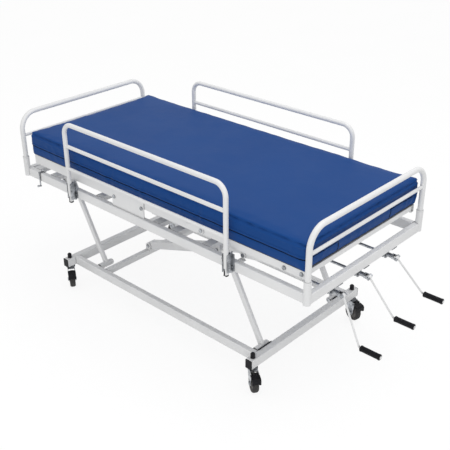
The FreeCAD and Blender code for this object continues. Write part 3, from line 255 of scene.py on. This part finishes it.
def between(tree, factor, low, high, start=0.0, end=1.0):
    """A number that goes from low to high as factor goes from start to end."""
    made = tree.nodes.new("ShaderNodeMapRange")
    made.inputs["From Min"].default_value = start
    made.inputs["From Max"].default_value = end
    made.inputs["To Min"].default_value = low
    made.inputs["To Max"].default_value = high
    tree.links.new(factor, made.inputs["Value"])
    return made.outputs["Result"]


def patches(tree, scale, low=0.0, high=1.0, start=0.3, end=0.7, **shape):
    """Soft patches: noise of this scale and shape, turned into a number from low to high."""
    return between(tree, cloud(tree, scale, **shape), low, high, start, end)


def blend_colours(tree, factor, first, second):
    """first where factor is 0 and second where it is 1; each is a colour or a socket."""
    made = tree.nodes.new("ShaderNodeMix")
    made.data_type = "RGBA"
    tree.links.new(factor, made.inputs["Factor"])
    for label, colour in (("A", first), ("B", second)):
        socket = [s for s in made.inputs if s.name == label and s.type == "RGBA"][0]
        if isinstance(colour, tuple):
            socket.default_value = (*colour, 1.0)
        else:
            tree.links.new(colour, socket)
    return [s for s in made.outputs if s.type == "RGBA"][0]


def bumped(tree, shader, height, strength, distance, under=None):
    made = add(tree, "ShaderNodeBump", strength=strength, distance=distance)
    tree.links.new(height, made.inputs["Height"])
    if under:
        tree.links.new(under, made.inputs["Normal"])
    tree.links.new(made.outputs["Normal"], shader.inputs["Normal"])
    return made.outputs["Normal"]


def painted_crevice_shade(tree, paint, reach, dirt):
    """The paint, darkened with painted shade where other surfaces stand closer than reach."""
    openness = add(tree, "ShaderNodeAmbientOcclusion", samples=crevice_shade_rays, distance=reach)
    closed = between(tree, openness.outputs["AO"], crevice_shade_most, 0.0, crevice_shade_full, crevice_shade_end)
    return blend_colours(tree, closed, paint, dirt)


# Materials

def powder_coat():
    """White powder coat: fine orange peel, faint clouds, a few scuffs and painted shade in each crevice."""
    material, tree, shader = new_material("white_powder_coat")
    paint = blend_colours(tree, patches(tree, 5.0), white_low, white_high)
    scuffs = patches(
        tree, 34.0, detail=6.0, stretch=(1.0, 1.0, 3.0), high=0.5, start=0.68, end=0.80)
    paint = blend_colours(tree, scuffs, paint, white_scuff)
    # Painted shade: darker where other surfaces stand close
    paint = painted_crevice_shade(tree, paint, white_reach, white_crevice_shade)
    tree.links.new(paint, shader.inputs["Base Color"])
    tree.links.new(patches(tree, 60.0, low=0.30, high=0.42), shader.inputs["Roughness"])
    bumped(tree, shader, cloud(tree, 700.0, detail=1.0), strength=0.10, distance=0.0004)
    shader.inputs["Coat Weight"].default_value = 0.10
    shader.inputs["Coat Roughness"].default_value = 0.18
    return material


def zinc_plate():
    """Bright zinc on steel: blue-grey with fine grain, dull patches and painted shade in each crevice."""
    material, tree, shader = new_material("zinc_plate")
    bright = patches(tree, 55.0, detail=4.0, start=0.38, end=0.62)
    metal = blend_colours(tree, bright, zinc_dull, zinc_bright)
    # Painted shade: darker where other surfaces stand close
    metal = painted_crevice_shade(tree, metal, zinc_reach, zinc_crevice_shade)
    tree.links.new(metal, shader.inputs["Base Color"])
    tree.links.new(between(tree, bright, low=0.46, high=0.27), shader.inputs["Roughness"])
    grain = cloud(tree, 420.0, detail=2.0, stretch=(1.0, 1.0, 0.25))
    bumped(tree, shader, grain, strength=0.12, distance=0.0003)
    shader.inputs["Metallic"].default_value = 0.92
    return material


def moulded_black():
    """Black moulded plastic with a fine spark-eroded grain."""
    material, tree, shader = new_material("moulded_black")
    plastic = blend_colours(tree, patches(tree, 25.0), black_low, black_high)
    tree.links.new(plastic, shader.inputs["Base Color"])
    tree.links.new(patches(tree, 90.0, low=0.34, high=0.50), shader.inputs["Roughness"])
    bumped(tree, shader, cloud(tree, 1500.0, detail=1.0), strength=0.18, distance=0.0003)
    shader.inputs["Specular IOR Level"].default_value = 0.14
    return material


def wheel_rubber(name, centre, axis):
    """Black tread round a brown-grey hub, parted at a radius from the wheel's axis."""
    material, tree, shader = new_material("wheel_" + name)
    offset = add(tree, "ShaderNodeVectorMath", operation="SUBTRACT")
    tree.links.new(place(tree), offset.inputs[0])
    offset.inputs[1].default_value = centre
    across = add(tree, "ShaderNodeVectorMath", operation="CROSS_PRODUCT")
    tree.links.new(offset.outputs["Vector"], across.inputs[0])
    across.inputs[1].default_value = axis
    radius = add(tree, "ShaderNodeVectorMath", operation="LENGTH")
    tree.links.new(across.outputs["Vector"], radius.inputs[0])
    wheel_radius = centre[2]
    tyre_start = wheel_radius * tyre_share
    tread = between(tree, radius.outputs["Value"], 0.0, 1.0, tyre_start, tyre_start + tyre_edge)
    grime = patches(tree, 60.0, detail=5.0, start=0.35)
    hub = blend_colours(tree, grime, hub_low, hub_high)
    rubber = blend_colours(tree, grime, tread_low, tread_high)
    tree.links.new(blend_colours(tree, tread, hub, rubber), shader.inputs["Base Color"])
    tree.links.new(between(tree, tread, low=0.42, high=0.72), shader.inputs["Roughness"])
    bumped(tree, shader, cloud(tree, 500.0, detail=2.0), strength=0.15, distance=0.0004)
    return material


def coated_fabric():
    """Royal blue coated mattress fabric: a very fine weave under a soft sheen."""
    material, tree, shader = new_material("blue_cover_fabric")
    dye = blend_colours(tree, patches(tree, 2.2, detail=4.0), blue_low, blue_high)
    creases = patches(
        tree, 16.0, detail=5.0, stretch=(1.0, 0.6, 1.0), high=0.25, start=0.62, end=0.85)
    dye = blend_colours(tree, creases, dye, blue_crease)
    # Painted shade: darker in the seam's groove, under the zip's flap and where other surfaces stand close
    dye = painted_crevice_shade(tree, dye, blue_reach, blue_crevice_shade)
    tree.links.new(dye, shader.inputs["Base Color"])
    tree.links.new(patches(tree, 9.0, low=0.50, high=0.55), shader.inputs["Roughness"])
    threads = add(tree, "ShaderNodeTexVoronoi", scale=850.0, randomness=0.15)
    tree.links.new(place(tree), threads.inputs["Vector"])
    soft = bumped(tree, shader, cloud(tree, 28.0, detail=4.0), strength=0.06, distance=0.004)
    weave = threads.outputs["Distance"]
    bumped(tree, shader, weave, strength=0.12, distance=0.0004, under=soft)
    shader.inputs["Specular IOR Level"].default_value = 0.12
    return material


def zip_coil():
    """Dark zip coil: narrow ribs across the tape."""
    material, tree, shader = new_material("zip_coil")
    scale = band_unit / rib_half
    ribs = add(tree, "ShaderNodeTexWave", bands_direction="DIAGONAL", scale=scale)
    tree.links.new(place(tree, (1.0, 1.0, 0.0)), ribs.inputs["Vector"])
    dark = blend_colours(tree, ribs.outputs["Fac"], coil_low, coil_high)
    tree.links.new(dark, shader.inputs["Base Color"])
    bumped(tree, shader, ribs.outputs["Fac"], strength=0.6, distance=0.0008)
    shader.inputs["Roughness"].default_value = 0.6
    shader.inputs["Specular IOR Level"].default_value = 0.05
    return material


def finish_nodes(blue):
    """Gives every CAD node the finish of its material slot."""
    finishes = {
        "white_powder": powder_coat(),
        "zinc_plated": zinc_plate(),
        "black_plastic": moulded_black(),
        "blue_cover": blue,
    }
    for part in frame["record"]["subparts"]:
        name = part["node"]
        finish = finishes.get(part["material_slot"])
        if finish is None:
            corner = name.replace("caster_wheel_", "")
            spin = joints["wheel_spin_" + corner]
            finish = wheel_rubber(corner, tuple(spin["pos_m"]), tuple(spin["axis"]))
        for held in frame["nodes"][name].material_slots:
            held.material = finish
    return finishes


# Mattress cover

def lines(low, high, extra=()):
    """Grid lines from low to high, close together in the rounded edges, and the extra ones."""
    r = cover_edge_round
    ends = [share * r for share in edge_shares]
    places = {round(low + e, 6) for e in ends} | {round(high - e, 6) for e in ends}
    count = max(1, round((high - low - 2 * r) / grid_step))
    for i in range(1, count):
        places.add(round(low + r + (high - low - 2 * r) * i / count, 6))
    places = {p for p in places if all(abs(p - e) > row_gap for e in extra)}
    return sorted(places | set(extra))


def rounded(p, low, high, r):
    """Moves a point of the box's surface onto the same box with rounded edges."""
    core = Vector(min(max(p[i], low[i] + r), high[i] - r) for i in range(3))
    out = p - core
    if out.length < 1e-9:
        return p
    return core + out.normalized() * r


def wave(p, shape):
    """Smooth noise about 0 at the point p."""
    height, along, upwards, seed = shape
    return height * noise.noise(Vector((p.x * along + seed, p.y * along - seed, p.z * upwards)))


def bump(distance, width):
    """1 at no distance, falling smoothly to nothing past the width."""
    return math.exp(-(distance / width) ** 2)


def crease(p):
    """Soft narrow ridges, along the lines where the noise passes 0."""
    return max(0.0, 1 - abs(wave(p, crease_wave)) * crease_sharp) ** 2


def side_way(p, middle, half):
    """The way out of the mattress through the side face next to p."""
    x, y = p.x - middle.x, p.y - middle.y
    if half.x - abs(x) < half.y - abs(y):
        return Vector((math.copysign(1, x), 0, 0))
    return Vector((0, math.copysign(1, y), 0))


def puckered(p, low, high):
    """Adds the crown, the side bulge, the sunk zip line and the cover's soft folds."""
    middle = (low + high) / 2
    half = (high - low) / 2
    u, v = ((p[i] - middle[i]) / half[i] for i in (0, 1))
    w = (p.z - middle.z) / half.z
    edge = min(high.x - abs(p.x - middle.x) - middle.x, high.y - abs(p.y))
    top = max(0.0, min(1.0, (w - top_start) / (1 - top_start)))
    lift = crown * (1 - u * u) * (1 - v * v) + wave(p, crown_wave)
    lift += wave(p, edge_wave) * math.exp(-edge / edge_fade)
    lift -= head_dip * math.exp(-max(0.0, p.x - low.x) / head_dip_fade)
    side = 1.0 - abs(w) ** 3
    swell = side_bulge * side * (1 - zip_pull * bump(p.z - zip_z, zip_pull_width))
    swell += wave(p, side_wave) * side
    from_corner = abs(abs(u) - 1) * half.x + abs(abs(v) - 1) * half.y
    swell += wave(p, corner_wave) * side * math.exp(-from_corner / corner_fade)
    if abs(p.z - zip_z) < zip_half:
        swell -= zip_sink
    near_side = math.exp(-max(0.0, edge) / side_fade)
    return p + Vector((0, 0, lift * top)) + side_way(p, middle, half) * swell * near_side


def sew(cover, before, low, high, folds):
    """Presses the seam, the groove, the creases and the marks over the folds into the cover."""
    middle = (low + high) / 2
    half = (high - low) / 2
    for vertex, p in zip(cover.data.vertices, before):
        drop = high.z - p.z
        inside = min(half.x - abs(p.x - middle.x), half.y - abs(p.y))
        if inside > sew_depth or drop < sew_top:
            continue
        loose = loose_mean + wave(p, loose_wave)
        reach = seam_out * loose * bump(drop - seam_drop, seam_width)
        reach -= groove_in * loose * bump(drop - groove_drop, groove_width)
        side = bump(p.z - middle.z + crease_drop, crease_width)
        share = crease_foot if p.x > high.x - foot_depth else crease_side
        reach += crease_out * share * side * crease(p)
        for x in folds:
            slant = p.x - x - mark_slant * (p.z - middle.z)
            mark = bump(slant - mark_ahead, mark_ridge) - bump(slant, mark_groove)
            reach += side * mark_height * mark
        vertex.co += side_way(p, middle, half) * reach


def cover_mesh(low, high):
    """A closed grid over the mattress, rounded at its edges."""
    zip_lines = [zip_z + i * zip_half for i in (-3, -1, 1, 3)]
    seam_lines = [high.z - drop for drop in seam_rows]
    upright = lines(low.z, high.z, zip_lines + seam_lines)
    grid = (lines(low.x, high.x), lines(low.y, high.y), upright)
    mesh = bmesh.new()
    made = {}

    def corner(i, j, k):
        if (i, j, k) not in made:
            p = Vector((grid[0][i], grid[1][j], grid[2][k]))
            p = rounded(p, low, high, cover_edge_round)
            made[i, j, k] = mesh.verts.new(puckered(p, low, high))
        return made[i, j, k]

    sizes = [len(g) - 1 for g in grid]
    for axis in range(3):
        a, b = (axis + 1) % 3, (axis + 2) % 3
        for end in (0, sizes[axis]):
            for i in range(sizes[a]):
                for j in range(sizes[b]):
                    ring = []
                    for di, dj in ((0, 0), (1, 0), (1, 1), (0, 1)):
                        index = [0, 0, 0]
                        index[axis], index[a], index[b] = end, i + di, j + dj
                        ring.append(corner(*index))
                    mesh.faces.new(ring if end else ring[::-1])
    return mesh


def as_object(mesh, name, material):
    data = bpy.data.meshes.new(name)
    mesh.to_mesh(data)
    mesh.free()
    data.materials.append(material)
    made = bpy.data.objects.new(name, data)
    bpy.context.scene.collection.objects.link(made)
    for face in data.polygons:
        face.use_smooth = True
    return made


def settle(cover, before):
    """Lets the cover swell and wrinkle a little as cloth over its foam, then keeps the result."""
    cloth = cover.modifiers.new("settle", "CLOTH")
    cloth.settings.quality = cloth_quality
    cloth.settings.mass = cloth_mass
    cloth.settings.bending_stiffness = cloth_stiffness
    cloth.settings.shrink_min = cloth_growth
    cloth.settings.use_pressure = True
    cloth.settings.uniform_pressure_force = cloth_pressure
    cloth.settings.effector_weights.gravity = 0
    cloth.collision_settings.use_collision = False
    cloth.point_cache.frame_end = cloth_frames
    for step in range(1, cloth_frames + 1):
        bpy.context.scene.frame_set(step)
    settled = cover.evaluated_get(bpy.context.evaluated_depsgraph_get())
    after = [v.co.copy() for v in settled.data.vertices]
    cover.modifiers.clear()
    for vertex, old, new in zip(cover.data.vertices, before, after):
        move = new - old
        if move.length > cloth_cap:
            move *= cloth_cap / move.length
        vertex.co = old + move
    bpy.context.scene.frame_set(1)


def relieve(cover, low, folds):
    """Hollows the underside a little at the valley folds, where the raised sections press."""
    for vertex in cover.data.vertices:
        depth = vertex.co.z - low.z
        if depth < cover_edge_round:
            near = max(math.exp(-((vertex.co.x - x) / relief_half) ** 4) for x in folds)
            vertex.co.z += fold_relief * near * (1 - depth / cover_edge_round)


def cut_between(source, start, end, name):
    """The part of a mesh between two x planes, as a closed object of its own."""
    mesh = bmesh.new()
    mesh.from_mesh(source.data)
    for x, way in ((start, -1), (end, 1)):
        if x is None:
            continue
        cut = bmesh.ops.bisect_plane(
            mesh, geom=mesh.verts[:] + mesh.edges[:] + mesh.faces[:], dist=1e-6,
            plane_co=(x, 0, 0), plane_no=(way, 0, 0), clear_outer=True)
        rim = [e for e in cut["geom_cut"] if isinstance(e, bmesh.types.BMEdge)]
        for edge in rim:
            edge.smooth = False
        bmesh.ops.holes_fill(mesh, edges=rim)
    return as_object(mesh, name, source.data.materials[0])


def bend(source, name, folds):
    """Splits a piece at the seat and thigh into its back, thigh and calf parts."""
    back_x, thigh_x, knee_x = folds
    parts = (
        ("back", None, seat_split, "upper_frame", "backrest", back_x, -fold_half),
        ("thigh", seat_split, thigh_split, "upper_frame", "thigh", thigh_x, fold_half),
        ("calf", thigh_split, None, "thigh", "calf", knee_x, knee_half),
    )
    made = []
    for part, start, end, first, second, x, half in parts:
        piece = cut_between(source, start, end, name + "_" + part)
        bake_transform(piece)
        made.append(piece)
    bpy.data.objects.remove(source)
    return made


def build_mattress(blue):
    boxes = [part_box("mattress_" + part) for part in ("back", "seat", "thigh", "calf")]
    low = Vector(min(b[0][i] for b in boxes) for i in range(3))
    high = Vector(max(b[1][i] for b in boxes) for i in range(3))
    low += Vector((cover_inset, cover_inset, 0))
    high -= Vector((cover_inset,) * 3)
    hinges = ("backrest_hinge", "knee_hinge_thigh", "knee_hinge_calf")
    folds = [joints[name]["pos_m"][0] for name in hinges]
    cover = as_object(cover_mesh(low, high), "cover", blue)
    before = [v.co.copy() for v in cover.data.vertices]
    settle(cover, before)
    sew(cover, before, low, high, folds)
    relieve(cover, low, folds[:2])
    points = [v.co.copy() for v in cover.data.vertices]
    surface = BVHTree.FromPolygons(points, [f.vertices for f in cover.data.polygons])
    back, thigh, calf = bend(cover, "mattress_cover", folds)
    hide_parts("mattress_back", "mattress_seat")
    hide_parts("mattress_thigh")
    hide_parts("mattress_calf")
    build_zip(low, high, folds, surface, blue)


# Zip

def zip_route(low, high):
    """Points along the zip, from the foot face round one side, the head and the other side."""
    r = cover_edge_round
    x0, x1, y1 = low.x, high.x, high.y
    foot = [(x1, y) for y in spread(y1 - zip_foot_reach, y1 - r, True)]
    foot_turn = [(x1 - r + r * math.cos(a), y1 - r + r * math.sin(a)) for a in arc_angles(0)]
    head_turn = [(x0 + r + r * math.cos(a), y1 - r + r * math.sin(a)) for a in arc_angles(90)]
    half = foot + foot_turn + [(x, y1) for x in spread(x1 - r, x0 + r)] + head_turn
    return half + [(x, -y) for x, y in reversed(half)]


def arc_angles(start, steps=5):
    return [math.radians(start + 90 * i / steps) for i in range(1, steps + 1)]


def spread(first, last, ends=False):
    """Numbers a grid step apart from first to last, with or without those two."""
    count = round(abs(last - first) / grid_step)
    steps = range(0, count + 1) if ends else range(1, count)
    return [first + (last - first) * i / count for i in steps]


def on_cover(surface, spot, out):
    """Where the cover lies, seen from outside along the way out of the mattress at the spot."""
    return surface.ray_cast(spot + out * ray_start, -out, 2 * ray_start)[0]


def laid(route, surface, z):
    """The route's points, each moved along the way out of the mattress onto the cover."""
    found = []
    for i, (x, y) in enumerate(route):
        hit = on_cover(surface, Vector((x, y, z)), way_out(route, i))
        found.append((hit.x, hit.y) if hit else (x, y))
    return found


def way_out(route, i):
    """The level direction square to the route at its point i, away from the mattress."""
    before = Vector(route[max(i - 1, 0)])
    after = Vector(route[min(i + 1, len(route) - 1)])
    run = (after - before).normalized()
    out = Vector((run.y, -run.x, 0))
    return out if out.dot(Vector((*route[i], 0))) > 0 else -out


def strip(mesh, rings, name, material):
    """A closed strip through rings of four vertices each."""
    for first, second in zip(rings, rings[1:]):
        for i in range(4):
            j = (i + 1) % 4
            mesh.faces.new((first[i], first[j], second[j], second[i]))
    mesh.faces.new(rings[0][::-1])
    mesh.faces.new(rings[-1])
    bmesh.ops.recalc_face_normals(mesh, faces=mesh.faces[:])
    return as_object(mesh, name, material)


def band(route, z0, z1, thick, flare, name, material):
    """A flat band that stands on edge along a route, thick outwards, its lower edge flared out."""
    mesh = bmesh.new()
    rings = []
    for i, (x, y) in enumerate(route):
        out = way_out(route, i)
        ring = []
        for z, reach in ((z0, -tuck), (z0, thick + flare), (z1, thick), (z1, -tuck)):
            ring.append(mesh.verts.new((x + out.x * reach, y + out.y * reach, z)))
        rings.append(ring)
    made = strip(mesh, rings, name, material)
    for face in made.data.polygons:
        face.use_smooth = False
    return made


def end_seam(x, y, z0, surface, name, material):
    """The dark seam that runs down from an end of the zip on the foot face."""
    mesh = bmesh.new()
    rings = []
    out = Vector((1, 0, 0))
    for i in range(end_rows + 1):
        z = z0 + (zip_z + zip_half - z0) * i / end_rows
        ring = []
        for side, reach in ((-1, -tuck), (-1, coil_thick), (1, coil_thick), (1, -tuck)):
            spot = Vector((x, y + side * end_half, z))
            hit = on_cover(surface, spot, out)
            ring.append(mesh.verts.new((hit.x + reach, spot.y, z)))
        rings.append(ring)
    made = strip(mesh, rings, name, material)
    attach(made, "calf")


def build_zip(low, high, folds, surface, blue):
    """The zip's coil, flap and tape, split like the mattress, and the seams at its ends."""
    coil = zip_coil()
    route = zip_route(low, high)
    coil_z0, coil_z1 = zip_z - zip_half, zip_z + zip_half
    flap_z0, flap_z1 = zip_z + zip_half * flap_start, zip_z + flap_height
    tape_z0 = coil_z0 - tape_height
    # Name, lower and upper edge, the height of the cover that it follows, and its section
    bands = (
        ("zip_coil", coil_z0, coil_z1, zip_z, coil_thick, 0.0, coil),
        ("zip_flap", flap_z0, flap_z1, zip_z + flap_height / 2, flap_thick, flap_flare, blue),
        ("zip_tape", tape_z0, coil_z0, coil_z0 - tape_height / 2, tape_thick, 0.0, blue),
    )
    for name, z0, z1, level, thick, flare, material in bands:
        line = laid(route, surface, level)
        bend(band(line, z0, z1, thick, flare, name + "_whole", material), name, folds)
    for side, name in ((-1, "right"), (1, "left")):
        y = side * (high.y - zip_foot_reach)
        end_seam(high.x, y, low.z + cover_edge_round, surface, "zip_end_" + name, coil)


# Small pieces

def build_gap_shadows(black):
    """Black rods of painted shadow between each foot-end leg's foot sleeve and the cross tube beside it."""
    pivot = Vector(joints["bed_lower"]["pos_m"])
    tube_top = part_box("base_end_caps")[1].z
    turn = Matrix.Rotation(math.radians(90), 4, "X")
    for side, name in ((-1, "right"), (1, "left")):
        mesh = bmesh.new()
        bmesh.ops.create_cone(
            mesh, cap_ends=True, segments=16, radius1=gap_shadow_r, radius2=gap_shadow_r, depth=gap_shadow_length)
        made = as_object(mesh, "leg_stop_" + name, black)
        spot = Vector((pivot.x + gap_shadow_ahead, side * gap_shadow_y, tube_top + gap_shadow_r))
        made.data.transform(Matrix.Translation(spot) @ turn)
        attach(made, "base")


# Surroundings

def build_floor():
    """A pale floor, seen mostly by its own white glow, so that the soft shadow stays faint."""
    material, tree, shader = new_material("pale_floor")
    pale = blend_colours(tree, patches(tree, 1.5), floor_low, floor_high)
    tree.links.new(pale, shader.inputs["Base Color"])
    shader.inputs["Roughness"].default_value = 0.9
    shader.inputs["Specular IOR Level"].default_value = 0.0
    bounce = add(tree, "ShaderNodeBsdfDiffuse", color=floor_bounce)
    glow = add(tree, "ShaderNodeEmission", strength=floor_glow)
    shown = tree.nodes.new("ShaderNodeMixShader")
    shown.inputs[0].default_value = shadow_share
    tree.links.new(glow.outputs[0], shown.inputs[1])
    tree.links.new(shader.outputs[0], shown.inputs[2])
    end = tree.nodes["Material Output"]
    by_ray(tree, bounce.outputs[0], shown.outputs[0], end)
    mesh = bmesh.new()
    bmesh.ops.create_circle(mesh, cap_ends=True, segments=64, radius=floor_radius)
    floor = as_object(mesh, "floor", material)


def by_ray(tree, lighting, seen, end):
    """Gives the end node what is seen for the rays that show a background, else the lighting."""
    mix = tree.nodes.new("ShaderNodeMixShader")
    tree.links.new(seen_rays(tree), mix.inputs[0])
    tree.links.new(lighting, mix.inputs[1])
    tree.links.new(seen, mix.inputs[2])
    tree.links.new(mix.outputs[0], end.inputs["Surface"])


def seen_rays(tree):
    """1 for the rays that show a background: those of the camera, reflections and glass."""
    rays = tree.nodes.new("ShaderNodeLightPath")
    total = rays.outputs["Is Camera Ray"]
    for name in ("Is Glossy Ray", "Is Transmission Ray"):
        larger = add(tree, "ShaderNodeMath", operation="MAXIMUM")
        tree.links.new(total, larger.inputs[0])
        tree.links.new(rays.outputs[name], larger.inputs[1])
        total = larger.outputs[0]
    return total


def build_light():
    world = bpy.data.worlds.new("studio")
    world.use_nodes = True
    bpy.context.scene.world = world
    tree = world.node_tree
    shown = tree.nodes["Background"]
    shown.inputs["Color"].default_value = pure_white
    shown.inputs["Strength"].default_value = 1.0
    lit = add(tree, "ShaderNodeBackground", color=pure_white, strength=world_light)
    by_ray(tree, lit.outputs[0], shown.outputs[0], tree.nodes["World Output"])
    for name, (spot, size, power) in lamps.items():
        data = bpy.data.lights.new(name, "AREA")
        data.size = size
        data.energy = power
        lamp = bpy.data.objects.new(name, data)
        lamp.location = spot
        lamp.rotation_euler = (camera_aim - Vector(spot)).to_track_quat("-Z", "Y").to_euler()
        bpy.context.scene.collection.objects.link(lamp)


def build_camera():
    data = bpy.data.cameras.new("camera")
    data.lens = camera_lens
    data.sensor_width = camera_sensor
    camera = bpy.data.objects.new("camera", data)
    turn = (camera_aim - camera_place).to_track_quat("-Z", "Y").to_matrix()
    turn = turn @ Matrix.Rotation(camera_roll, 3, "Z")
    camera.matrix_world = Matrix.Translation(camera_place) @ turn.to_4x4()
    bpy.context.scene.collection.objects.link(camera)
    bpy.context.scene.camera = camera


def main():
    bpy.context.scene.view_settings.view_transform = "Standard"
    blue = coated_fabric()
    finishes = finish_nodes(blue)
    build_mattress(blue)
    # Black rods of painted shadow beside the foot-end legs' sleeves
    build_gap_shadows(finishes["black_plastic"])
    build_floor()
    build_light()
    build_camera()


main()
